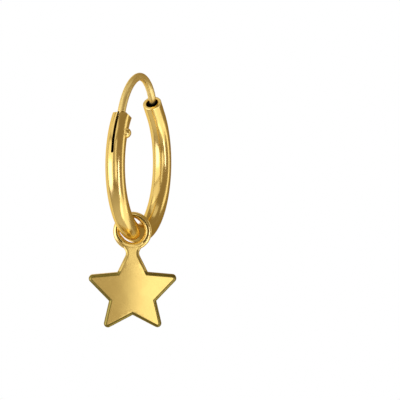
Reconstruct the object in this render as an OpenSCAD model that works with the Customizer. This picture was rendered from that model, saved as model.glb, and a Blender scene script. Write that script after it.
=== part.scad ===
// Hinged tube hoop earring with a star charm, all lengths in millimetres.
// The origin is the middle of the wire at the top of its arch, where the earring hangs.
// The hoop lies in the YZ plane, with its hinge on the -Y side and its open mouth on the +Y side.

/* [Hoop] */
// Outer diameter of the hoop
hoop_d = 12; // [11.5:0.1:12.5]
// Outer diameter of the hoop's tube
tube_d = 1.45; // [1.35:0.05:1.6]
// Thickness of the tube's wall
tube_wall = 0.27; // [0.2:0.01:0.28]
// Direction from the hoop's middle to the end of its curve, on the mouth side
mouth_angle = 43.5; // [41:0.5:46]
// Length of the straight stretch of tube behind the mouth
mouth_run = 1.4; // [1:0.1:1.6]

/* [Hinge] */
// Direction from the hoop's middle to the rivet
rivet_angle = 152.6; // [150:0.1:156]
// Diameter of the rivet's shank
rivet_d = 0.34; // [0.26:0.02:0.38]
// Diameter of the rivet's domed head
head_d = 0.76; // [0.6:0.02:0.9]
// How far the head stands out of the tube
head_rise = 0.3; // [0.12:0.02:0.34]
// Height of the tube's cut end above the hoop's middle
end_height = 3.98; // [3.9:0.01:4]
// Width of the slit that the wire's tongue swings in
slit_w = 0.2; // [0.16:0.01:0.24]
// Direction from the hoop's middle to the bottom of the slit
slit_angle = 169.5; // [166:0.5:175]

/* [Ear wire] */
// Diameter of the wire
wire_d = 0.6; // [0.5:0.02:0.64]
// Diameter of the wire's rounded tip
tip_d = 0.5; // [0.4:0.02:0.5]
// Thickness of the flattened tongue
tongue_t = 0.12; // [0.08:0.01:0.14]
// Diameter of the eye that turns on the rivet
eye_d = 0.8; // [0.7:0.02:0.82]
// Direction in which the wire leaves the rivet, from level
wire_lean = 63.1; // [62:0.1:64]
// Straight length of the wire from the rivet
lean_run = 1.72; // [1.7:0.01:1.9]
// Radius of the bend between the hinge and the top of the arch
front_bend_r = 4.93; // [4.8:0.01:5.1]
// Radius of the bend over the top of the arch
crest_bend_r = 3.19; // [3.1:0.01:3.25]
// Radius of the bend that turns the tip into the mouth
back_bend_r = 2.2; // [1.6:0.1:2.6]

/* [Charm] */
// Direction from the hoop's middle to the place where the charm hangs
charm_angle = 249.5; // [230:0.5:270]
// Turn of the charm about the upright line, away from square to the hoop
charm_turn = 19.7; // [0:0.1:25]
// Outer diameter of the charm's ring
ring_d = 2.91; // [2.9:0.01:3.4]
// Diameter of the ring's wire
ring_wire_d = 0.43; // [0.36:0.01:0.44]
// Distance from the middle of the star to the round ends of its side arms
star_reach = 3.15; // [2.6:0.05:3.6]
// Thickness of the star
star_t = 0.9; // [0.7:0.05:1.2]
// Width of the rolled edge round the star's face
face_roll = 0.23; // [0.1:0.01:0.25]

/* [Hidden] */
$fn = 72;

// hoop
tube_r = tube_d / 2;
bore_r = tube_r - tube_wall;
hoop_r = (hoop_d - tube_d) / 2;
// the curve starts above the cut end, which is then cut off level
curve_start = 118;
curve_sweep = 360 + mouth_angle - curve_start;
spare = 0.5;
// a stretch that joins another is this much thinner, and starts this far inside it
join_step = 0.01;
join_run = 0.05;

// cut end of the tube at the hinge: nearly level, with its near corner taken off on the slant
end_slope = 7;
corner = [-4.2, 0.44];
corner_slope = 48;
corner_turn = 19;

// hinge
rivet_r = rivet_d / 2;
rivet_gap = 0.01;
eye_gap = 0.02;
// the tongue sits to one side of the slit
tongue_shift = 0.025;
tongue_w = 0.56;
// the wire is round from this far off the rivet, and the tube is cleared out to just under it
round_from = 1.68;
clear_from = 1.66;
clear_w = 0.66;
// the shank's far end is spread in a sunk seat and filed off just below the tube's surface
flush_d = 0.44;
flush_sink = 0.1;
flush_under = 0.035;

// turns of the three bends, all in the hoop's plane
front_bend = 51.6;
crest_bend = 59.7;
back_bend = 16.8;
tip_run = 0.3;
join_turn = 1;

// charm
ring_wire_r = ring_wire_d / 2;
ring_r = (ring_d - ring_wire_d) / 2;
ring_side = 0.1;
ring_drop = 0.05;
ring_to_star = 4.546;
neck_t = 0.4;
neck_fillet = 0.48;
back_roll = 0.1;
roll_steps = 3;
arc_steps = 6;
// One row for each arm of the star and the notch after it, clockwise from the top, seen from the front.
// Columns: tip direction, tip reach, tip rounding, notch direction, notch reach.
// A reach is a share of star_reach.
ARMS = [
    [90, 0.871, 0.46, 51.6, 0.586],
    [18.1, 1, 0.3, -21.6, 0.607],
    [-52.2, 0.966, 0.3, -90, 0.558],
    [-127.8, 0.966, 0.3, -158.4, 0.607],
    [161.9, 1, 0.3, 128.4, 0.586]
];

// A point at a distance and direction from the hoop's middle, or from the star's
function polar(reach, direction) = [reach * cos(direction), reach * sin(direction)];

// A place on the wire is [y, z, direction]; these two give the place at the end of a run or a bend
function after_run(p, length) = [p.x + length * cos(p.z), p.y + length * sin(p.z), p.z];
function bend_middle(p, r) = [p.x + r * sin(p.z), p.y - r * cos(p.z)];
function after_bend(p, r, turn) =
    let (m = bend_middle(p, r))
    [m.x - r * sin(p.z - turn), m.y + r * cos(p.z - turn), p.z - turn];

rivet = polar(hoop_r, rivet_angle);
wire_start = [rivet.x, rivet.y, wire_lean];
front_start = after_run(wire_start, lean_run);
crest_start = after_bend(front_start, front_bend_r, front_bend);
back_start = after_bend(crest_start, crest_bend_r, crest_bend);
tip_start = after_bend(back_start, back_bend_r, back_bend);
tip = after_run(tip_start, tip_run);
// the wire runs level at the top of its arch
crest = after_bend(crest_start, crest_bend_r, crest_start.z);

// Star outline, pulled in by an inset
function tip_middle(arm) = polar(star_reach * arm[1], arm[0]);
function notch(arm) = polar(star_reach * arm[4], arm[3]);
function arm_at(i) = ARMS[(i + len(ARMS)) % len(ARMS)];
// Direction from a tip's middle to where the flank from a notch touches its rounding
function touch(from, arm, side) =
    let (m = tip_middle(arm), v = from - m)
    atan2(v.y, v.x) + side * acos(arm[2] / norm(v));
function first_touch(i) = touch(notch(arm_at(i - 1)), arm_at(i), -1);
function last_touch(i) = touch(notch(arm_at(i)), arm_at(i), 1);
function turn_between(a, b) = ((a - b) % 360 + 360) % 360;
function tip_arc(i, inset) =
    let (a = first_touch(i), turn = turn_between(a, last_touch(i)), arm = arm_at(i))
    [for (k = [0:arc_steps]) tip_middle(arm) + polar(arm[2] - inset, a - turn * k / arc_steps)];
function inner_notch(i, inset) =
    let (m = polar(1, last_touch(i)), n = polar(1, first_touch(i + 1)))
    notch(arm_at(i)) - (m + n) * inset / (1 + m * n);
function star_outline(inset) =
    [for (i = [0:len(ARMS) - 1]) each concat(tip_arc(i, inset), [inner_notch(i, inset)])];

// Depths and insets of the star's sections, from its back to its front
STAR_SECTIONS = concat(
    [[star_t / 2, back_roll], [star_t / 2 - back_roll, 0]],
    [for (k = [0:roll_steps])
        let (turn = 90 * k / roll_steps)
        [-star_t / 2 + face_roll * (1 - sin(turn)), face_roll * (1 - cos(turn))]]
);

// Puts a shape drawn in the hoop's own plane, with its middle at the origin, into its place
module in_hoop_plane() {
    translate([0, -crest.x, -crest.y]) rotate([90, 0, 90]) children();
}

// The hoop's curve and its straight end, as a solid bar of radius r
module hoop_bar(r, extra = 0) {
    rotate([0, 0, curve_start - extra])
        rotate_extrude(angle = curve_sweep + extra)
        translate([hoop_r, 0]) circle(r);
    rotate([0, 0, mouth_angle])
        translate([hoop_r, -join_run, 0])
        rotate([-90, 0, 0])
        cylinder(h = join_run + mouth_run + extra / 10, r = r - join_step / 2);
}

// Takes the tube's end off, and then its near corner
module end_cut() {
    far_side = -sqrt(pow(hoop_d / 2, 2) - pow(end_height, 2));
    translate([far_side, end_height, 0])
        rotate([0, 0, -end_slope])
        translate([-1, 0, -tube_d])
        cube([4.5, hoop_d / 2, 2 * tube_d]);
    translate([corner.x, end_height, corner.y])
        rotate([-corner_slope, 0, -corner_turn])
        translate([-2, -2, 0])
        cube([5, 4, tube_d]);
}

// Flat ring sector in the hoop's plane, from the tube's middle line outwards
module outer_slab(width, from, sweep) {
    rotate([0, 0, from])
        rotate_extrude(angle = sweep)
        translate([hoop_r, -width / 2]) square([tube_d, width]);
}

module slit() {
    outer_slab(slit_w, curve_start, slit_angle - curve_start);
    rotate([0, 0, slit_angle])
        translate([hoop_r, 0, 0])
        rotate([0, 90, 0])
        cylinder(h = tube_d, d = slit_w);
}

// Room in the outer wall for the lower end of the round wire
module wire_clearance() {
    difference() {
        outer_slab(clear_w, curve_start, rivet_angle - curve_start);
        translate([rivet.x, rivet.y, 0])
            cylinder(h = tube_d, r = clear_from, center = true);
    }
}

// Sunk end on the far side, where the rivet is spread flush
module flush_end(gap, extra = 0) {
    slope = (flush_d / 2 - rivet_r) / flush_sink;
    translate([rivet.x, rivet.y, flush_under - tube_r - extra])
        cylinder(h = flush_sink + extra, r1 = flush_d / 2 + gap + slope * extra, r2 = rivet_r + gap);
}

module hoop_tube() {
    color("goldenrod") in_hoop_plane() difference() {
        hoop_bar(tube_r);
        hoop_bar(bore_r, 1);
        end_cut();
        slit();
        wire_clearance();
        translate([rivet.x, rivet.y, 0])
            cylinder(h = 2 * tube_d, r = rivet_r + rivet_gap, center = true);
        flush_end(rivet_gap, spare);
    }
}

module hinge_rivet() {
    head_base = tube_r + 0.02;
    dome_rise = tube_r + head_rise - head_base;
    dome_r = (pow(head_d / 2, 2) + pow(dome_rise, 2)) / (2 * dome_rise);
    color("darkgoldenrod") in_hoop_plane() {
        difference() {
            translate([rivet.x, rivet.y, 0]) {
                intersection() {
                    translate([0, 0, head_base + dome_rise - dome_r]) sphere(r = dome_r);
                    translate([0, 0, head_base]) cylinder(h = head_rise, d = head_d);
                }
                translate([0, 0, bore_r]) cylinder(h = head_base - bore_r, d = head_d);
            }
            hoop_bar(tube_r + rivet_gap);
        }
        translate([rivet.x, rivet.y, flush_under - tube_r])
            cylinder(h = tube_d, r = rivet_r);
        flush_end(0);
    }
}

// Straight run of wire from a place on its line, with a diameter at each end
module wire_run(p, length, d1, d2) {
    translate([p.x, p.y, 0])
        rotate([0, 0, p.z])
        rotate([0, 90, 0])
        cylinder(h = length, d1 = d1, d2 = d2);
}

// Bend of wire, turning clockwise, which reaches further at both ends by an extra turn
module wire_bend(p, r, turn, d, extra = 0) {
    m = bend_middle(p, r);
    translate([m.x, m.y, 0])
        rotate([0, 0, 90 + p.z - turn - extra])
        rotate_extrude(angle = turn + 2 * extra)
        translate([r, 0]) circle(d = d);
}

// Flat tongue with its eye, on one side of the slit's middle
module tongue() {
    translate([rivet.x, rivet.y, tongue_shift - tongue_t / 2])
        rotate([0, 0, wire_lean]) {
            cylinder(h = tongue_t, d = eye_d);
            translate([0, -tongue_w / 2, 0]) cube([lean_run, tongue_w, tongue_t]);
        }
}

module ear_wire() {
    color("gold") in_hoop_plane() difference() {
        union() {
            difference() {
                wire_run(wire_start, lean_run, wire_d, wire_d);
                translate([rivet.x, rivet.y, 0])
                    cylinder(h = tube_d, r = round_from, center = true);
            }
            tongue();
            wire_bend(front_start, front_bend_r, front_bend, wire_d - join_step, join_turn);
            wire_bend(crest_start, crest_bend_r, crest_bend, wire_d);
            wire_bend(back_start, back_bend_r, back_bend, wire_d - join_step, join_turn);
            wire_run(tip_start, tip_run, wire_d, tip_d - 2 * join_step);
            translate([tip.x, tip.y, 0]) sphere(d = tip_d);
        }
        translate([rivet.x, rivet.y, 0])
            cylinder(h = tube_d, r = rivet_r + eye_gap, center = true);
    }
}

// Star body with rolled edges, its front facing -Y, around its own middle
module star_body() {
    outlines = [for (s = STAR_SECTIONS) [for (p = star_outline(s[1])) [p.x, s[0], p.y]]];
    n = len(outlines[0]);
    last = len(outlines) - 1;
    sides = [for (s = [0:last - 1], i = [0:n - 1])
        [s * n + i, s * n + (i + 1) % n, (s + 1) * n + (i + 1) % n, (s + 1) * n + i]];
    // each flat side is a fan about its own middle point
    middles = [[0, STAR_SECTIONS[0].x, 0], [0, STAR_SECTIONS[last].x, 0]];
    hub = (last + 1) * n;
    back = [for (i = [0:n - 1]) [hub, (i + 1) % n, i]];
    front = [for (i = [0:n - 1]) [hub + 1, last * n + i, last * n + (i + 1) % n]];
    points = concat([for (o = outlines) each o], middles);
    polyhedron(points = points, faces = concat(back, front, sides));
}

// Neck between the ring and the top arm, with a fillet on each side
module neck() {
    // the flank of the top arm: a point on it, its outward normal and its line, from the ring's middle
    flank = notch(ARMS[0]) - [0, ring_to_star];
    out = polar(1, last_touch(0));
    up = [-out.y, out.x];
    // the fillet's middle is off the flank and off the ring's rim by its own radius, less a hair
    base = flank + out * (neck_fillet - join_step);
    reach = ring_r + ring_wire_r + neck_fillet;
    climb = -(base * up) - sqrt(pow(base * up, 2) - base * base + reach * reach);
    middle = base + up * climb;
    on_ring = middle * ring_r / norm(middle);
    on_flank = middle - out * neck_fillet;
    rotate([90, 0, 0]) linear_extrude(height = neck_t, center = true) difference() {
        polygon([
            [-on_ring.x, on_ring.y], on_ring, middle, on_flank,
            [-on_flank.x, on_flank.y], [-middle.x, middle.y]
        ]);
        for (side = [-1, 1]) translate([side * middle.x, middle.y]) circle(r = neck_fillet);
    }
}

module star_charm() {
    on_tube = polar(hoop_r, charm_angle) - [crest.x, crest.y];
    color("gold")
        translate([0, on_tube.x, on_tube.y - ring_drop])
        rotate([0, 0, charm_turn])
        translate([ring_side, 0, 0]) {
            rotate([90, 0, 0]) rotate_extrude() translate([ring_r, 0]) circle(ring_wire_r);
            neck();
            translate([0, 0, -ring_to_star]) star_body();
        }
}

hoop_tube();
hinge_rivet();
ear_wire();
star_charm();
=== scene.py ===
from math import acos, atan2, cos, degrees, hypot, pi, radians, sin, sqrt, tan

import bmesh
import bpy
from mathutils import Matrix, Vector


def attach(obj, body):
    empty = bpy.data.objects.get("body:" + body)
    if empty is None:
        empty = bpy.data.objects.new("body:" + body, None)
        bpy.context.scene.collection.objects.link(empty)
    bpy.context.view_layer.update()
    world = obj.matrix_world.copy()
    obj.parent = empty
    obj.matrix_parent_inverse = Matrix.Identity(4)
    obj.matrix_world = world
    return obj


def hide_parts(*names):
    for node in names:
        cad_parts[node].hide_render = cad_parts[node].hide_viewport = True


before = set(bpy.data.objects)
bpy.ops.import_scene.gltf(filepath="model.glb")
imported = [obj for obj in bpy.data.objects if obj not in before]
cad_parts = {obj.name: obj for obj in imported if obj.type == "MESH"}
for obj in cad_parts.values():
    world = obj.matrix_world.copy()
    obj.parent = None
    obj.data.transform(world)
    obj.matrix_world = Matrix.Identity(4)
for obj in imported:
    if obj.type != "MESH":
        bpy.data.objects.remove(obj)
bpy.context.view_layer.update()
print("frame loaded")

mm = 0.001

# the hoop as a whole, in mm and degrees
hoop = {
    "lineRadius": 5.275,    # of the line that the tube's middle follows
    "tubeRadius": 0.725,
    "boreRadius": 0.455,
    "middle": (-0.1446, -6.626),    # the hoop's middle from the top of the arch, along Y and Z
    "rivetAngle": 152.6,
    "mouthAngle": 43.5,
    "flushUnder": 0.035,    # how far the rivet's filed end lies under the tube's surface
}

# what the small tools work with
bench = {
    "weld": 0.0005,    # points nearer than this become one
    "near": 0.001,    # heights that differ by less are the same
    "squareFrom": 45,    # an edge is square from this angle
    "sharpFrom": 38,    # and looks sharp from this one
    "drillSides": 48,
    "slabSteps": 40,
    "overshoot": 0.3,    # how far a cutting tool stands out of the metal
}


def polar(reach, angle):
    return Vector((reach * cos(radians(angle)), reach * sin(radians(angle)), 0))


def bearing(x, y):
    return degrees(atan2(y, x))


def turnBetween(angle, other):
    return abs((angle - other + 180) % 360 - 180)


# Drawings of the hoop are made flat, with the hoop's middle at zero: x to the mouth side, y up, z to
# the rivet's head. This stands them up in their place.
hoopPlane = Matrix((
    (0, 0, mm, 0),
    (mm, 0, 0, hoop["middle"][0] * mm),
    (0, mm, 0, hoop["middle"][1] * mm),
    (0, 0, 0, 1),
))
rivetSpot = polar(hoop["lineRadius"], hoop["rivetAngle"])


# small tools for the bench

def place(x=0, y=0, z=0):
    return Matrix.Translation((x, y, z))


def turn(angle, axis):
    return Matrix.Rotation(radians(angle), 4, axis)


def vertsIn(items):
    return [item for item in items if isinstance(item, bmesh.types.BMVert)]


def edgesIn(items):
    return [item for item in items if isinstance(item, bmesh.types.BMEdge)]


def facesIn(items):
    return [item for item in items if isinstance(item, bmesh.types.BMFace)]


def middleOf(verts):
    return sum((vert.co for vert in verts), Vector()) / len(verts)


def ringOf(bm, radius, segments, matrix):
    made = bmesh.ops.create_circle(bm, cap_ends=False, segments=segments, radius=radius, matrix=matrix)
    edges = dict.fromkeys(edge for vert in made["verts"] for edge in vert.link_edges)
    return made["verts"], list(edges)


def bend(bm, verts, edges, centre, axis, angle, steps):
    last = bmesh.ops.spin(
        bm, geom=verts + edges, cent=centre, axis=axis, angle=radians(angle), steps=steps,
    )["geom_last"]
    return vertsIn(last), edgesIn(last)


def pull(bm, edges, move):
    made = bmesh.ops.extrude_edge_only(bm, edges=edges)["geom"]
    verts = vertsIn(made)
    bmesh.ops.translate(bm, verts=verts, vec=move)
    return verts, [edge for edge in edgesIn(made) if all(vert in verts for vert in edge.verts)]


def drawTo(bm, verts, point):
    # the drawn line goes straight on to a point
    made = bmesh.ops.extrude_vert_indiv(bm, verts=verts)["verts"]
    made[0].co = point
    return made


def shrink(bm, verts, factor):
    bmesh.ops.scale(bm, verts=verts, vec=(factor, factor, factor), space=place(*(-middleOf(verts))))


def easeEdges(bm, edges, width, steps):
    bmesh.ops.bevel(
        bm, geom=edges, offset=width, offset_type="OFFSET", segments=steps, profile=0.5,
        affect="EDGES", clamp_overlap=True, material=-1,
    )


def weld(bm):
    bmesh.ops.remove_doubles(bm, verts=bm.verts, dist=bench["weld"])


def outwards(bm):
    bmesh.ops.recalc_face_normals(bm, faces=bm.faces)


def objectOf(bm, name):
    mesh = bpy.data.meshes.new(name)
    bm.to_mesh(mesh)
    bm.free()
    made = bpy.data.objects.new(name, mesh)
    bpy.context.scene.collection.objects.link(made)
    return made


def finishPiece(bm, name, matrix, materials):
    # smooth everywhere but at true edges
    bm.normal_update()
    for face in bm.faces:
        face.smooth = True
    for edge in bm.edges:
        blunt = edge.calc_face_angle(0) < radians(bench["sharpFrom"])
        edge.smooth = len(edge.link_faces) == 2 and blunt
    bmesh.ops.transform(bm, matrix=matrix, verts=bm.verts)
    piece = objectOf(bm, name)
    for material in materials:
        piece.data.materials.append(material)
    return piece


def cutAway(work, tools):
    # one boolean for each tool, applied at once
    for tool in tools:
        step = work.modifiers.new("cut", "BOOLEAN")
        step.operation = "DIFFERENCE"
        step.solver = "EXACT"
        step.object = tool
        bpy.context.view_layer.update()
        ready = work.evaluated_get(bpy.context.evaluated_depsgraph_get())
        mesh = bpy.data.meshes.new_from_object(ready)
        work.modifiers.remove(step)
        work.data = mesh
        bpy.data.objects.remove(tool)
    return work


def blockTool(size, matrix):
    bm = bmesh.new()
    bmesh.ops.create_cube(bm, size=1, matrix=matrix @ Matrix.Diagonal((*size, 1)))
    return objectOf(bm, "block")


def drillTool(radius, farRadius, depth, matrix):
    bm = bmesh.new()
    bmesh.ops.create_cone(
        bm, cap_ends=True, segments=bench["drillSides"], radius1=radius, radius2=farRadius,
        depth=depth, matrix=matrix @ place(0, 0, depth / 2),
    )
    return objectOf(bm, "drill")


def slabTool(width, inner, outer, start, sweep):
    # a flat ring sector in the hoop's plane
    bm = bmesh.new()
    size = Matrix.Diagonal(((outer - inner) / 2, width / 2, 1, 1))
    square = turn(start, "Z") @ place((inner + outer) / 2) @ turn(90, "X") @ size
    verts, edges = ringOf(bm, sqrt(2), 4, square @ turn(45, "Z"))
    bend(bm, verts, edges, (0, 0, 0), (0, 0, 1), sweep, bench["slabSteps"])
    weld(bm)
    bmesh.ops.holes_fill(bm, edges=bm.edges, sides=0)
    outwards(bm)
    return objectOf(bm, "slab")


# gold

# what all the golds share; a noise is a scale and a detail, then a stretch and a twist if it has a grain
grain = {
    "edgeTint": (0.94, 0.79, 0.44),    # keeps the metal yellow at a glancing look
    "drift": (520, 3),
    "driftShare": (0.35, 1.0),
    "rubbedMore": (1.08, 1.12, 1.3),    # rubbed edges are brighter by these factors
    "rubbedShare": (0.0, 0.5),
    "rubbedFrom": (0.52, 0.62),
    "haze": (900, 5),
    "hazeShare": (0.88, 1.15),
    "dents": (1400, 2),
    "scratchesUp": (2600, 2, (1, 1, 18), (0.5, 0.2, 0)),
    "scratchesUpFrom": (0.56, 0.66),
    "scratchesAcross": (3100, 2, (14, 1, 1), (0, 0.4, 0.7)),
    "scratchesAcrossFrom": (0.58, 0.68),
    "bumpDepth": 0.000004,    # in metres
}

# colour, deeper colour, roughness, scratches, dents
goldKinds = {
    "goldPolished": ((0.86, 0.65, 0.22), (0.84, 0.63, 0.21), 0.18, 0.06, 0.03),
    # the rim gold is the polished gold darkened to about a third: painted shade on the star's rolled
    # edges, and a painted dark reflection along the ring's groove
    "goldRimPaintedShadeAndReflection": ((0.25, 0.20, 0.045), (0.20, 0.155, 0.033), 0.26, 0.1, 0.1),
    # the neck gold is the polished gold darkened less: a lighter painted shade for the roll on the top
    # arm and neck
    "goldNeckPaintedShade": ((0.66, 0.50, 0.16), (0.58, 0.44, 0.13), 0.24, 0.1, 0.1),
    "goldSatin": ((0.85, 0.64, 0.22), (0.82, 0.61, 0.20), 0.19, 0.03, 0.05),
    "goldWire": ((0.92, 0.74, 0.30), (0.88, 0.70, 0.27), 0.4, 0.08, 0.1),
    # nearly black and rough: painted shade for the bore and the sawn slit
    "goldInsidePaintedShade": ((0.10, 0.065, 0.02), (0.05, 0.03, 0.01), 0.45, 0.8, 1.5),
}


def gold(name, colour, deepColour, roughness, scratch, dents):
    mat = bpy.data.materials.new(name)
    mat.use_nodes = True
    nodes, links = mat.node_tree.nodes, mat.node_tree.links
    shader = nodes["Principled BSDF"]
    shader.inputs["Metallic"].default_value = 1.0
    shader.inputs["Specular Tint"].default_value = (*grain["edgeTint"], 1)
    where = nodes.new("ShaderNodeTexCoord")

    def noise(scale, detail, stretch=(1, 1, 1), twist=(0, 0, 0)):
        spread = nodes.new("ShaderNodeMapping")
        spread.inputs["Scale"].default_value = stretch
        spread.inputs["Rotation"].default_value = twist
        links.new(where.outputs["Object"], spread.inputs["Vector"])
        cloud = nodes.new("ShaderNodeTexNoise")
        cloud.inputs["Scale"].default_value = scale
        cloud.inputs["Detail"].default_value = detail
        links.new(spread.outputs["Vector"], cloud.inputs["Vector"])
        return cloud.outputs["Fac"]

    def remap(value, low, high, fromLow=0.3, fromHigh=0.7):
        ramp = nodes.new("ShaderNodeMapRange")
        ramp.inputs["From Min"].default_value = fromLow
        ramp.inputs["From Max"].default_value = fromHigh
        ramp.inputs["To Min"].default_value = low
        ramp.inputs["To Max"].default_value = high
        links.new(value, ramp.inputs["Value"])
        return ramp.outputs["Result"]

    def mixed():
        mix = nodes.new("ShaderNodeMix")
        mix.data_type = "RGBA"
        return mix

    def worked(operation):
        step = nodes.new("ShaderNodeMath")
        step.operation = operation
        return step

    # colour: slow drift between the two golds, a little brighter where edges are rubbed
    drift = mixed()
    drift.inputs["A"].default_value = (*deepColour, 1)
    drift.inputs["B"].default_value = (*colour, 1)
    links.new(remap(noise(*grain["drift"]), *grain["driftShare"]), drift.inputs["Factor"])
    shape = nodes.new("ShaderNodeNewGeometry")
    rubbed = mixed()
    brighter = [min(1, part * more) for part, more in zip(colour, grain["rubbedMore"])]
    rubbed.inputs["B"].default_value = (*brighter, 1)
    edges = remap(shape.outputs["Pointiness"], *grain["rubbedShare"], *grain["rubbedFrom"])
    links.new(edges, rubbed.inputs["Factor"])
    links.new(drift.outputs["Result"], rubbed.inputs["A"])
    links.new(rubbed.outputs["Result"], shader.inputs["Base Color"])

    # roughness: polishing haze over the base value
    hazy = [roughness * share for share in grain["hazeShare"]]
    links.new(remap(noise(*grain["haze"]), *hazy), shader.inputs["Roughness"])

    # bump: soft dents, with scratches up and across
    height = worked("MULTIPLY_ADD")
    links.new(noise(*grain["dents"]), height.inputs[0])
    height.inputs[1].default_value = dents
    fine = worked("ADD")
    for socket, way in zip(fine.inputs, ("scratchesUp", "scratchesAcross")):
        links.new(remap(noise(*grain[way]), 0, scratch, *grain[way + "From"]), socket)
    links.new(fine.outputs["Value"], height.inputs[2])
    bump = nodes.new("ShaderNodeBump")
    bump.inputs["Strength"].default_value = 1.0
    bump.inputs["Distance"].default_value = grain["bumpDepth"]
    links.new(height.outputs["Value"], bump.inputs["Height"])
    links.new(bump.outputs["Normal"], shader.inputs["Normal"])
    return mat


golds = {kind: gold(kind, *values) for kind, values in goldKinds.items()}
print("golds mixed")


# the hoop's tube

tube = {
    "aroundTube": 120,
    "alongHoop": 240,
    "alongRun": 8,
    "curveStart": 118,    # the curve starts above the cut end
    "mouthRun": 1.4,
    "mouthLip": 0.07,
    "lipSteps": 4,
    "endHeight": 3.98,
    "endSlope": 7,
    "endSaw": (4.5, 6, 3),
    "endSawAt": (1.25, 3, 0),
    "corner": (-4.2, 0.44),
    "cornerSlope": 48,
    "cornerTurn": 19,
    "cornerFile": (5, 4, 2),
    "cornerFileAt": (0.5, 0, 1),
    "slitWidth": 0.2,
    "slitAngle": 169.5,
    "slitAbove": 2,    # its saw starts this many degrees above the curve's start
    "slitEnd": 1.2,    # and its round end reaches about this many past its angle
    "slitDrill": 1.2,
    "holeRadius": 0.18,
    "seatRadius": 0.232,
    "seatDepth": 0.1,
    "seatPast": 0.02,    # how far the seat's drill goes on inside the hole
    "drillDepth": 3,
    "sliver": 0.0002,
    "skin": 0.003,    # this much under the surface is still the outside
    "boreSkin": 0.01,
}


def tubeBlank():
    # an outer wall and a bore, closed by a flat ring at each end
    bm = bmesh.new()
    sweep = 360 + hoop["mouthAngle"] - tube["curveStart"]
    seat = turn(tube["curveStart"], "Z") @ place(hoop["lineRadius"]) @ turn(90, "X")
    straight = turn(hoop["mouthAngle"], "Z") @ Vector((0, tube["mouthRun"], 0))
    for radius in (hoop["tubeRadius"], hoop["boreRadius"]):
        verts, start = ringOf(bm, radius, tube["aroundTube"], seat)
        verts, edges = bend(bm, verts, start, (0, 0, 0), (0, 0, 1), sweep, tube["alongHoop"])
        for part in range(tube["alongRun"]):
            verts, edges = pull(bm, edges, straight / tube["alongRun"])
        if radius == hoop["tubeRadius"]:
            for rim in (start, edges):
                inner = pull(bm, rim, (0, 0, 0))[0]
                shrink(bm, inner, hoop["boreRadius"] / radius)
    weld(bm)
    outwards(bm)
    # the mouth's two rims are eased
    fromMouth = turn(-hoop["mouthAngle"], "Z")
    lips = []
    for edge in bm.edges:
        middle = fromMouth @ middleOf(edge.verts)
        atMouth = abs(middle.y - tube["mouthRun"]) < bench["near"] and middle.x > 0
        if atMouth and edge.calc_face_angle(0) > radians(bench["squareFrom"]):
            lips.append(edge)
    easeEdges(bm, lips, tube["mouthLip"], tube["lipSteps"])
    outwards(bm)
    return objectOf(bm, "tubeBlank")


def cutHingeEnd(work):
    # the sloping end and its filed corner, the slit with its round bottom, the rivet's hole and its seat
    outer = hoop["lineRadius"] + hoop["tubeRadius"]
    farSide = -sqrt(outer ** 2 - tube["endHeight"] ** 2)
    endSaw = place(farSide, tube["endHeight"]) @ turn(-tube["endSlope"], "Z") @ place(*tube["endSawAt"])
    cornerFile = (
        place(tube["corner"][0], tube["endHeight"], tube["corner"][1])
        @ turn(-tube["cornerTurn"], "Z") @ turn(-tube["cornerSlope"], "X")
        @ place(*tube["cornerFileAt"])
    )
    slitTop = tube["curveStart"] - tube["slitAbove"]
    slitBottom = turn(tube["slitAngle"], "Z") @ place(hoop["lineRadius"]) @ turn(90, "Y")
    slitHalf = tube["slitWidth"] / 2
    past, over = tube["seatPast"], bench["overshoot"]
    seatSlope = (tube["seatRadius"] - tube["holeRadius"]) / tube["seatDepth"]
    filedEnd = hoop["flushUnder"] - hoop["tubeRadius"]
    return cutAway(work, [
        blockTool(tube["endSaw"], endSaw),
        blockTool(tube["cornerFile"], cornerFile),
        slabTool(
            tube["slitWidth"], hoop["lineRadius"], outer + over, slitTop, tube["slitAngle"] - slitTop,
        ),
        drillTool(slitHalf, slitHalf, tube["slitDrill"], slitBottom),
        drillTool(
            tube["holeRadius"], tube["holeRadius"], tube["drillDepth"],
            place(rivetSpot.x, rivetSpot.y, -tube["drillDepth"] / 2),
        ),
        drillTool(
            tube["seatRadius"] + over * seatSlope, tube["holeRadius"] - past * seatSlope,
            tube["seatDepth"] + over + past, place(rivetSpot.x, rivetSpot.y, filedEnd - over),
        ),
    ])


def paintShadeInside(bm):
    # the bore and the sawn slit take a nearly black, rough gold: painted shade inside the tube
    fromMouth = turn(-hoop["mouthAngle"], "Z")
    for face in bm.faces:
        middle = face.calc_center_median()
        reach = hypot(middle.x, middle.y)
        fromLine = hypot(reach - hoop["lineRadius"], middle.z)
        onRun = fromMouth @ middle
        if onRun.y > 0 and onRun.x > 0:
            fromLine = hypot(onRun.x - hoop["lineRadius"], onRun.z)
        inBore = fromLine < hoop["boreRadius"] + tube["boreSkin"]
        inSlit = (
            abs(middle.z) < tube["slitWidth"] / 2 + bench["near"]
            and tube["curveStart"] < bearing(middle.x, middle.y) < tube["slitAngle"] + tube["slitEnd"]
            and reach > hoop["lineRadius"] and fromLine < hoop["tubeRadius"] - tube["skin"]
        )
        face.material_index = 1 if inBore or inSlit else 0


def makeTube():
    work = cutHingeEnd(tubeBlank())
    bm = bmesh.new()
    bm.from_mesh(work.data)
    bpy.data.objects.remove(work)
    weld(bm)
    bmesh.ops.dissolve_degenerate(bm, dist=tube["sliver"], edges=bm.edges)
    bmesh.ops.holes_fill(bm, edges=[edge for edge in bm.edges if edge.is_boundary], sides=4)
    paintShadeInside(bm)
    piece = finishPiece(bm, "hoopTube", hoopPlane, [golds["goldSatin"], golds["goldInsidePaintedShade"]])
    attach(piece, "hoop")
    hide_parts("hoop_tube")


makeTube()
print("tube made")


# the rivet

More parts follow.
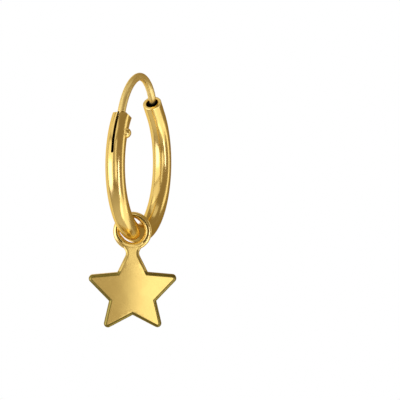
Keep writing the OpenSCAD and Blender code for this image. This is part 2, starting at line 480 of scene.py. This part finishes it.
# its heights are counted from the tube's line towards the head
rivet = {
    "shankRadius": 0.17,
    "headRadius": 0.38,
    "headBase": 0.74,
    "headTop": 1.025,
    "headFoot": 0.58,
    "headBulge": 0.012,
    "bulgeUnder": 0.03,
    "domeSteps": 12,
    "flushRadius": 0.22,
    "flushSink": 0.1,
    "flushEase": (0.015, 0.012),
    "around": 64,
}


def makeRivet():
    # half of the rivet's section, drawn from the top of its head down to its flush end, then spun
    bm = bmesh.new()
    r = rivet
    rise = r["headTop"] - r["headBase"]
    domeRadius = (r["headRadius"] ** 2 + rise ** 2) / (2 * rise)
    domeTurn = degrees(acos((domeRadius - rise) / domeRadius))
    top = bm.verts.new((0, 0, r["headTop"]))
    domeMiddle = (0, 0, r["headTop"] - domeRadius)
    last = bend(bm, [top], [], domeMiddle, (0, 1, 0), domeTurn, r["domeSteps"])[0]
    end = -hoop["tubeRadius"] + hoop["flushUnder"]
    for x, z in (
        (r["headRadius"] + r["headBulge"], r["headBase"] - r["bulgeUnder"]),
        (r["headRadius"], r["headFoot"]),
        (r["shankRadius"], r["headFoot"]),
        (r["shankRadius"], end + r["flushSink"]),
        (r["flushRadius"], end + r["flushEase"][1]),
        (r["flushRadius"] - r["flushEase"][0], end),
        (0, end),
    ):
        last = drawTo(bm, last, (x, 0, z))
    bmesh.ops.spin(
        bm, geom=list(bm.verts) + list(bm.edges), cent=(0, 0, 0), axis=(0, 0, 1),
        angle=2 * pi, steps=r["around"], use_merge=True,
    )
    weld(bm)
    outwards(bm)
    bmesh.ops.translate(bm, verts=bm.verts, vec=rivetSpot)
    piece = finishPiece(bm, "hingeRivet", hoopPlane, [golds["goldSatin"]])
    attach(piece, "hoop")
    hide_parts("hinge_rivet")


makeRivet()
print("rivet made")


# the ear wire

wire = {
    "radius": 0.3,
    "around": 48,
    "lean": 63.1,
    "roundFrom": 1.68,
    "leanRun": 1.72,
    "bends": ((4.93, 51.6, 40), (3.19, 59.7, 44), (2.2, 16.8, 14)),    # radius, turn, steps
    "tipRun": 0.3,
    "tipRadius": 0.25,
    "tipSteps": 4,
    "domeSteps": 8,
    "footEase": 0.03,
    "footSteps": 3,
    "tongueThick": 0.12,
    "tongueWide": 0.56,
    "tongueShift": 0.025,
    "tongueShort": 0.01,    # how far before the first bend the tongue stops
    "tongueTop": 0.085,    # half of its thickness there
    "tongueEase": 0.02,
    "tongueSteps": 2,
    "eyeRadius": 0.4,
    "eyeHole": 0.19,
    "eyeDrill": 2,
    "eyeSteps": 40,
}


def roundWire():
    bm = bmesh.new()
    w = wire
    heading = w["lean"]
    here = rivetSpot + polar(w["roundFrom"], heading)
    seat = Matrix.Translation(here) @ turn(heading, "Z") @ turn(90, "Y")
    verts, foot = ringOf(bm, w["radius"], w["around"], seat)
    verts, edges = pull(bm, foot, polar(w["leanRun"] - w["roundFrom"], heading))
    here = rivetSpot + polar(w["leanRun"], heading)
    for bendRadius, angle, steps in w["bends"]:
        centre = here + polar(bendRadius, heading - 90)
        verts, edges = bend(bm, verts, edges, centre, (0, 0, -1), angle, steps)
        heading -= angle
        here = centre + polar(bendRadius, heading + 90)
    # the straight end narrows a little to a round tip
    narrowing = (1 - w["tipRadius"] / w["radius"]) / w["tipSteps"]
    for part in range(w["tipSteps"]):
        verts, edges = pull(bm, edges, polar(w["tipRun"] / w["tipSteps"], heading))
        shrink(bm, verts, (1 - narrowing * (part + 1)) / (1 - narrowing * part))
    for part in range(w["domeSteps"] - 1):
        a, b = radians(90 * part / w["domeSteps"]), radians(90 * (part + 1) / w["domeSteps"])
        verts, edges = pull(bm, edges, polar(w["tipRadius"] * (sin(b) - sin(a)), heading))
        shrink(bm, verts, cos(b) / cos(a))
    verts, edges = pull(bm, edges, polar(w["tipRadius"] * (1 - sin(b)), heading))
    bmesh.ops.pointmerge(bm, verts=verts, merge_co=middleOf(verts))
    # the foot is closed with an eased edge
    bmesh.ops.holes_fill(bm, edges=foot, sides=0)
    easeEdges(bm, foot, w["footEase"], w["footSteps"])
    outwards(bm)
    return bm


def tonguePlate():
    # a flat plate that ends in an eye about the rivet
    plate = bmesh.new()
    w = wire
    halfWide, end = w["tongueWide"] / 2, w["leanRun"] - w["tongueShort"]
    gap = degrees(acos(sqrt(w["eyeRadius"] ** 2 - halfWide ** 2) / w["eyeRadius"]))
    start = plate.verts.new(polar(w["eyeRadius"], gap))
    last = bend(plate, [start], [], (0, 0, 0), (0, 0, 1), 360 - 2 * gap, w["eyeSteps"])[0]
    last = drawTo(plate, last, (end, -halfWide, 0))
    last = drawTo(plate, last, (end, halfWide, 0))
    plate.edges.new((last[0], start))
    face = bmesh.ops.contextual_create(plate, geom=list(plate.edges))["faces"]
    solid = bmesh.ops.extrude_face_region(plate, geom=face)["geom"]
    bmesh.ops.translate(plate, verts=vertsIn(solid), vec=(0, 0, w["tongueThick"]))
    outwards(plate)
    rims = [e for e in plate.edges if abs(e.verts[0].co.z - e.verts[1].co.z) < bench["near"]]
    # it thickens towards the round wire
    half = w["tongueThick"] / 2
    for vert in plate.verts:
        if vert.co.x > w["eyeRadius"]:
            side = 1 if vert.co.z > half else -1
            vert.co.z = half - w["tongueShift"] + w["tongueTop"] * side
    easeEdges(plate, rims, w["tongueEase"], w["tongueSteps"])
    flat = Matrix.Translation(rivetSpot) @ turn(w["lean"], "Z") @ place(0, 0, w["tongueShift"] - half)
    bmesh.ops.transform(plate, matrix=flat, verts=plate.verts)
    under = place(rivetSpot.x, rivetSpot.y, -w["eyeDrill"] / 2)
    drill = drillTool(w["eyeHole"], w["eyeHole"], w["eyeDrill"], under)
    return cutAway(objectOf(plate, "tongue"), [drill])


def makeWire():
    bm = roundWire()
    tongue = tonguePlate()
    bm.from_mesh(tongue.data)
    bpy.data.objects.remove(tongue)
    piece = finishPiece(bm, "earWire", hoopPlane, [golds["goldWire"]])
    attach(piece, "ear_wire")
    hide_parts("ear_wire")


makeWire()
print("ear wire made")


# the charm

# The star and its ring are drawn flat, with the ring's middle at zero: x right, y up, z to the front.
# Directions run anticlockwise from x.
charm = {
    "angle": 249.5,    # where it hangs on the hoop
    "turn": 19.7,
    "side": 0.1,
    "drop": 0.05,
    "ringRadius": 1.24,
    "ringWire": 0.215,
    "ringAround": 48,
    "ringAlong": 128,
    "ringFuller": 0.12,    # the ring is fuller inside, but for a stretch that runs close to the tube
    "closeAt": 135,
    "closeHalf": 40,
    "closeFade": 45,
    "lowFuller": 0.07,    # and fuller again round this place
    "lowestAt": 225,
    "grooveDeep": 0.07,    # a fine groove runs round its front and back, but not in the neck, and its line is painted dark as a painted reflection
    "grooveEnds": (232, 308),
    "grooveFade": 14,
    # the painted dark reflection stops this many degrees short of the neck
    "grooveBright": 4,
    "grooveHalf": 0.02,
    "ringToStar": 4.546,
    "starReach": 3.15,
    "starThick": 0.9,
    "jointHalf": 29,    # beside this angle the neck hides in the ring
    "jointCover": 0.97,
    "neckThick": 0.424,
    "neckFillet": 0.48,
    "filletShare": 0.65,    # the fillet stops here, and the neck runs straight on into the ring
    "filletSteps": 10,
    "neckRun": 0.5,
    "tipSteps": 12,
    "faceRoll": 0.23,
    "faceSteps": 6,
    "backRoll": 0.1,
    "backSteps": 3,
    "camber": 0.16,    # how far the face falls away at this reach to each side
    "camberReach": 3.3,
    "rimsFrom": -3.02,    # above this the roll's painted shade is lighter
    "taperFrom": -2.6,    # the star thins towards the ring between these two heights
    "taperTo": -1.35,
    "taperEase": 0.6,
    "cutsAcross": (0.22, 15),    # distance, and number to each side
    "cutsDown": (-8, 0.2, 31),    # lowest, distance, number
    "cutsInNeck": (0.13, 10),
    # for each arm clockwise from the top: tip direction, reach and rounding, notch direction and reach
    "arms": (
        (90, 0.871, 0.46, 51.6, 0.586),
        (18.1, 1, 0.3, -21.6, 0.607),
        (-52.2, 0.966, 0.3, -90, 0.558),
        (-127.8, 0.966, 0.3, -158.4, 0.607),
        (161.9, 1, 0.3, 128.4, 0.586),
    ),
}


def tipMiddle(index):
    direction, reach = charm["arms"][index][:2]
    return polar(charm["starReach"] * reach, direction)


def notchAfter(index):
    direction, reach = charm["arms"][index][3:]
    return polar(charm["starReach"] * reach, direction)


def touch(index, notch, side):
    # direction from a tip's middle to where the flank from a notch meets its rounding
    away = notch - tipMiddle(index)
    return bearing(away.x, away.y) + side * degrees(acos(charm["arms"][index][2] / away.length))


def drawStar(bm):
    # the neck's side is a round fillet off the star's flank, then runs straight on into the ring's wire
    c = charm
    down = Vector((0, -c["ringToStar"], 0))
    out = polar(1, touch(0, notchAfter(0), 1))
    up = Vector((-out.y, out.x, 0))
    base = notchAfter(0) + down + out * c["neckFillet"]
    reach = c["ringRadius"] + c["ringWire"] + c["neckFillet"]
    climb = -base.dot(up) - sqrt(base.dot(up) ** 2 - base.length_squared + reach ** 2)
    filletMiddle = base + up * climb
    flankTouch = filletMiddle - out * c["neckFillet"]
    fromFlank = bearing(-out.x, -out.y)
    wholeTurn = (fromFlank - bearing(-filletMiddle.x, -filletMiddle.y)) % 360
    filletTurn = wholeTurn * c["filletShare"]
    filletEnd = filletMiddle + polar(c["neckFillet"], fromFlank - filletTurn)
    onRing = filletEnd + polar(c["neckRun"], fromFlank - filletTurn - 90)

    start = bm.verts.new(onRing)

    def arc(verts, centre, angle, steps):
        return bend(bm, verts, [], centre, (0, 0, 1), angle, steps)[0]

    # right of the neck, then the arms clockwise, then left of the neck
    last = drawTo(bm, [start], filletEnd)
    last = arc(last, filletMiddle, filletTurn, c["filletSteps"])
    last = drawTo(bm, last, notchAfter(0) + down)
    for index in range(1, 5):
        first = touch(index, notchAfter(index - 1), -1)
        swing = (first - touch(index, notchAfter(index), 1)) % 360
        last = drawTo(bm, last, tipMiddle(index) + polar(c["arms"][index][2], first) + down)
        last = arc(last, tipMiddle(index) + down, -swing, c["tipSteps"])
        last = drawTo(bm, last, notchAfter(index) + down)
    mirrored = Vector((-1, 1, 1))
    last = drawTo(bm, last, flankTouch * mirrored)
    last = arc(last, filletMiddle * mirrored, filletTurn, c["filletSteps"])
    last = drawTo(bm, last, onRing * mirrored)
    bm.edges.new((last[0], start))
    face = bmesh.ops.contextual_create(bm, geom=list(bm.edges))["faces"]
    outwards(bm)
    if face[0].normal.z < 0:
        bmesh.ops.reverse_faces(bm, faces=face)
    return face


def raiseStar(bm, face):
    # walls, then the rolled front edge and the small back one, which take a darker gold than the flats:
    # painted shade on the rolled edges
    c = charm
    front = facesIn(bmesh.ops.extrude_face_region(bm, geom=face)["geom"])
    bmesh.ops.translate(bm, verts=bm.verts, vec=(0, 0, c["backRoll"] - c["starThick"] / 2))
    wall = c["starThick"] - c["faceRoll"] - c["backRoll"]
    bmesh.ops.translate(bm, verts=list(front[0].verts), vec=(0, 0, wall))
    outwards(bm)
    back = [f for f in bm.faces if len(f.verts) > 4 and f not in front]
    for faces, roll, steps in (
        (front, c["faceRoll"], c["faceSteps"]), (back, c["backRoll"], c["backSteps"]),
    ):
        for part in range(steps):
            a, b = radians(90 * part / steps), radians(90 * (part + 1) / steps)
            band = bmesh.ops.inset_region(
                bm, faces=faces, thickness=roll * (cos(a) - cos(b)), depth=roll * (sin(b) - sin(a)),
                use_boundary=True, use_even_offset=True,
            )["faces"]
            for rolled in band:
                # painted shade: the rolled faces take the darker gold
                rolled.material_index = 1


def cutRows(bm, places, normal):
    for spot in places:
        bmesh.ops.bisect_plane(
            bm, geom=list(bm.verts) + list(bm.edges) + list(bm.faces),
            plane_co=Vector(normal) * spot, plane_no=normal,
        )


def thinNeck(bm):
    # cuts across and down let the flat sides bend: the face is a little domed, and the neck tapers
    c = charm
    bmesh.ops.triangulate(bm, faces=[f for f in bm.faces if len(f.verts) > 4])
    apart, count = c["cutsAcross"]
    cutRows(bm, [n * apart for n in range(-count, count + 1)], (1, 0, 0))
    low, apart, count = c["cutsDown"]
    cutRows(bm, [low + n * apart for n in range(count)], (0, 1, 0))
    apart, count = c["cutsInNeck"]
    cutRows(bm, [c["taperFrom"] + n * apart for n in range(count)], (0, 1, 0))
    thin = c["neckThick"] / c["starThick"]
    for vert in bm.verts:
        share = min(1, max(0, (vert.co.y - c["taperFrom"]) / (c["taperTo"] - c["taperFrom"])))
        share = share * share * (1 + c["taperEase"] * (1 - share))    # eases in at its lower end
        frontness = max(0, vert.co.z / (c["starThick"] / 2))
        sag = c["camber"] * (vert.co.x / c["camberReach"]) ** 2 * frontness
        vert.co.z = (vert.co.z - sag) * (1 - share * (1 - thin))
        # in the ring's wire the neck stays under its surface, but for the front and back of the joint
        reach = hypot(vert.co.x, vert.co.y)
        beside = turnBetween(bearing(vert.co.x, vert.co.y), -90) > c["jointHalf"]
        if reach < c["ringRadius"] + (c["ringWire"] if beside else 0):
            past = reach - c["ringRadius"]
            halfWide = c["ringWire"] if past > 0 else c["ringWire"] + c["ringFuller"] / 2
            middle = 0 if past > 0 else -c["ringFuller"] / 2
            cover = c["jointCover"] * c["ringWire"] * sqrt(max(0, 1 - ((past - middle) / halfWide) ** 2))
            vert.co.z = max(-cover, min(cover, vert.co.z))
    bmesh.ops.dissolve_degenerate(bm, dist=bench["weld"], edges=bm.edges)
    # the roll on the top arm and neck gets the lighter painted shade
    for face in bm.faces:
        if face.material_index == 1 and face.calc_center_median().y > c["rimsFrom"]:
            face.material_index = 2


def addRing(bm):
    c = charm
    before = set(bm.verts)
    verts, edges = ringOf(bm, c["ringWire"], c["ringAround"], place(c["ringRadius"]) @ turn(90, "X"))
    bmesh.ops.spin(
        bm, geom=verts + edges, cent=(0, 0, 0), axis=(0, 0, 1), angle=2 * pi, steps=c["ringAlong"],
        use_merge=True,
    )
    ringVerts = [vert for vert in bm.verts if vert not in before]
    # the groove is one row of points, sunk
    firstEnd, lastEnd = c["grooveEnds"]
    onTop = c["ringWire"] * cos(pi / c["ringAround"])
    for vert in ringVerts:
        around = bearing(vert.co.x, vert.co.y) % 360
        clear = min(abs(around - firstEnd), abs(around - lastEnd))
        if abs(vert.co.z) > onTop and not firstEnd < around < lastEnd:
            vert.co.z *= 1 - c["grooveDeep"] / c["ringWire"] * min(1, clear / c["grooveFade"])
    # faces along the groove, away from the neck, take the darker rim gold: a painted dark reflection
    # down the middle of the wire
    for face in {face for vert in ringVerts for face in vert.link_faces}:
        middle = face.calc_center_median()
        around = bearing(middle.x, middle.y) % 360
        inNeck = firstEnd - c["grooveBright"] < around < lastEnd + c["grooveBright"]
        offLine = abs(hypot(middle.x, middle.y) - c["ringRadius"])
        if offLine < c["grooveHalf"] and abs(middle.z) > c["ringWire"] / 2 and not inNeck:
            face.material_index = 1
    for vert in ringVerts:
        around = bearing(vert.co.x, vert.co.y)
        away = turnBetween(around, c["closeAt"])
        share = min(1, max(0, (away - c["closeHalf"]) / c["closeFade"]))
        extra = c["ringFuller"] * share * share * (3 - 2 * share)
        low = turnBetween(around, c["lowestAt"])
        extra += c["lowFuller"] * max(0, cos(radians(min(90, low))))
        reach = hypot(vert.co.x, vert.co.y)
        past = (reach - c["ringRadius"]) * (1 + extra / 2 / c["ringWire"])
        wanted = c["ringRadius"] - extra / 2 + past
        vert.co.x *= wanted / reach
        vert.co.y *= wanted / reach


def makeCharm():
    c = charm
    bm = bmesh.new()
    raiseStar(bm, drawStar(bm))
    thinNeck(bm)
    addRing(bm)
    outwards(bm)
    onTube = polar(hoop["lineRadius"], c["angle"])
    across, height = onTube.x + hoop["middle"][0], onTube.y + hoop["middle"][1] - c["drop"]
    hang = (
        place(0, across * mm, height * mm) @ turn(c["turn"], "Z") @ Matrix.Diagonal((mm, mm, mm, 1))
        @ place(c["side"]) @ turn(90, "X")
    )
    materials = [golds["goldPolished"], golds["goldRimPaintedShadeAndReflection"], golds["goldNeckPaintedShade"]]
    piece = finishPiece(bm, "starCharm", hang, materials)
    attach(piece, "star_charm")
    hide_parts("star_charm")


makeCharm()
print("charm made")


# studio

camera = {
    "azimuth": 19.728,
    "elevation": 1.684,
    "distance": 156.8,
    "right": 4.604,    # how far the picture's middle lies from the hoop's middle
    "down": 2.737,
    "lens": 185.68,
    "sensor": 36,
    "sees": (0.001, 10),    # nearest and farthest, in metres
}

studio = {
    "floorDrop": 400,
    "floorRadius": 600,
    "floorSides": 96,
    "floorTint": (0.84, 0.84, 0.84),
    "floorDeepTint": (0.8, 0.8, 0.79),
    "floorRoughness": 0.9,
    "floorNoise": (9, 6),
    "floorGlow": 0.13,
    "roomTint": (1.0, 0.76, 0.45),
    "roomLight": 0.32,
    "lampsAimAt": (0, -1, -9),
    "stripTint": (1.0, 1.02, 1.5),
    # for each lamp: direction seen from the earring, counted from the camera to the right and up,
    # its spread both ways, its distance in metres, its brightness
    "softBoxes": {
        "leftWide": (-60, 2, 70, 54, 0.34, 1.0),
        "leftStrip": (-60, -13, 42, 38, 0.28, 1.4),
        "leftHigh": (-60, 52, 70, 36, 0.34, 0.72),
        "rightStrip": (42, -15, 11, 38, 0.3, 3.0),
        "rightLow": (45, -58, 12, 30, 0.3, 1.2),
        "rightWide": (96, 0, 22, 60, 0.3, 1.0),
        "topSoft": (0, 98, 70, 30, 0.34, 0.5),
        "backLeft": (-142, 0, 76, 80, 0.4, 0.65),
        "frontRight": (9, -7, 18, 24, 0.3, 1.2),
        "frontLeft": (-9, -7, 18, 24, 0.3, 0.2),
        "frontHighLeft": (-6, 20, 10, 30, 0.3, 0.42),
        "frontHighRight": (4, 20, 10, 30, 0.3, 0.85),
        "rightBelow": (72, -48, 50, 44, 0.3, 0.8),
    },
}


def paleFloor():
    # paper, with a tint that drifts a little
    mat = bpy.data.materials.new("paleFloor")
    mat.use_nodes = True
    nodes, links = mat.node_tree.nodes, mat.node_tree.links
    shader = nodes["Principled BSDF"]
    where = nodes.new("ShaderNodeTexCoord")
    cloud = nodes.new("ShaderNodeTexNoise")
    cloud.inputs["Scale"].default_value = studio["floorNoise"][0]
    cloud.inputs["Detail"].default_value = studio["floorNoise"][1]
    drift = nodes.new("ShaderNodeMix")
    drift.data_type = "RGBA"
    drift.inputs["A"].default_value = (*studio["floorTint"], 1)
    drift.inputs["B"].default_value = (*studio["floorDeepTint"], 1)
    links.new(where.outputs["Object"], cloud.inputs["Vector"])
    links.new(cloud.outputs["Fac"], drift.inputs["Factor"])
    links.new(drift.outputs["Result"], shader.inputs["Base Color"])
    shader.inputs["Roughness"].default_value = studio["floorRoughness"]
    shader.inputs["Emission Color"].default_value = (1, 1, 1, 1)
    shader.inputs["Emission Strength"].default_value = studio["floorGlow"]
    return mat


def makeFloor():
    # round and pale, well below the hanging earring
    bm = bmesh.new()
    bmesh.ops.create_circle(
        bm, cap_ends=True, segments=studio["floorSides"], radius=studio["floorRadius"] * mm,
        matrix=place(0, 0, -studio["floorDrop"] * mm),
    )
    outwards(bm)
    floor = finishPiece(bm, "floor", Matrix(), [paleFloor()])


def softBox(name, azimuth, elevation, wide, tall, distance, brightness):
    a, e = radians(azimuth + camera["azimuth"]), radians(elevation)
    target = Vector(studio["lampsAimAt"]) * mm
    at = target + distance * Vector((sin(a) * cos(e), -cos(a) * cos(e), sin(e)))
    lamp = bpy.data.lights.new(name, "AREA")
    lamp.shape = "RECTANGLE"
    lamp.size = 2 * distance * tan(radians(wide / 2))
    lamp.size_y = 2 * distance * tan(radians(tall / 2))
    lamp.energy = brightness * pi * lamp.size * lamp.size_y    # as bright at any size
    if name.endswith("Strip"):
        lamp.color = studio["stripTint"]
    holder = bpy.data.objects.new(name, lamp)
    holder.location = at
    holder.rotation_euler = (target - at).to_track_quat("-Z", "Y").to_euler()
    holder.visible_camera = False
    bpy.context.scene.collection.objects.link(holder)


def makeWorld():
    # a dim warm room to reflect, and a white ground behind everything
    world = bpy.data.worlds.new("studio")
    world.use_nodes = True
    nodes, links = world.node_tree.nodes, world.node_tree.links
    room = nodes["Background"]
    room.inputs["Color"].default_value = (*studio["roomTint"], 1)
    room.inputs["Strength"].default_value = studio["roomLight"]
    ground = nodes.new("ShaderNodeBackground")
    ground.inputs["Color"].default_value = (1, 1, 1, 1)
    path = nodes.new("ShaderNodeLightPath")
    pick = nodes.new("ShaderNodeMixShader")
    links.new(path.outputs["Is Camera Ray"], pick.inputs[0])
    links.new(room.outputs["Background"], pick.inputs[1])
    links.new(ground.outputs["Background"], pick.inputs[2])
    links.new(pick.outputs["Shader"], nodes["World Output"].inputs["Surface"])
    bpy.context.scene.world = world


def makeCamera():
    a, e = radians(camera["azimuth"]), radians(camera["elevation"])
    middle = Vector((0, hoop["middle"][0] * mm, hoop["middle"][1] * mm))
    ahead = Vector((-sin(a) * cos(e), cos(a) * cos(e), -sin(e)))
    right = Vector((cos(a), sin(a), 0))
    up = right.cross(ahead)
    at = middle - ahead * camera["distance"] * mm
    aim = middle + right * camera["right"] * mm - up * camera["down"] * mm
    data = bpy.data.cameras.new("camera")
    data.lens = camera["lens"]
    data.sensor_width = camera["sensor"]
    data.clip_start, data.clip_end = camera["sees"]
    holder = bpy.data.objects.new("camera", data)
    holder.location = at
    holder.rotation_euler = (aim - at).to_track_quat("-Z", "Y").to_euler()
    bpy.context.scene.collection.objects.link(holder)
    bpy.context.scene.camera = holder


makeFloor()
makeWorld()
for boxName, setting in studio["softBoxes"].items():
    softBox(boxName, *setting)
bpy.context.scene.view_settings.view_transform = "Standard"
makeCamera()
print("studio lit")
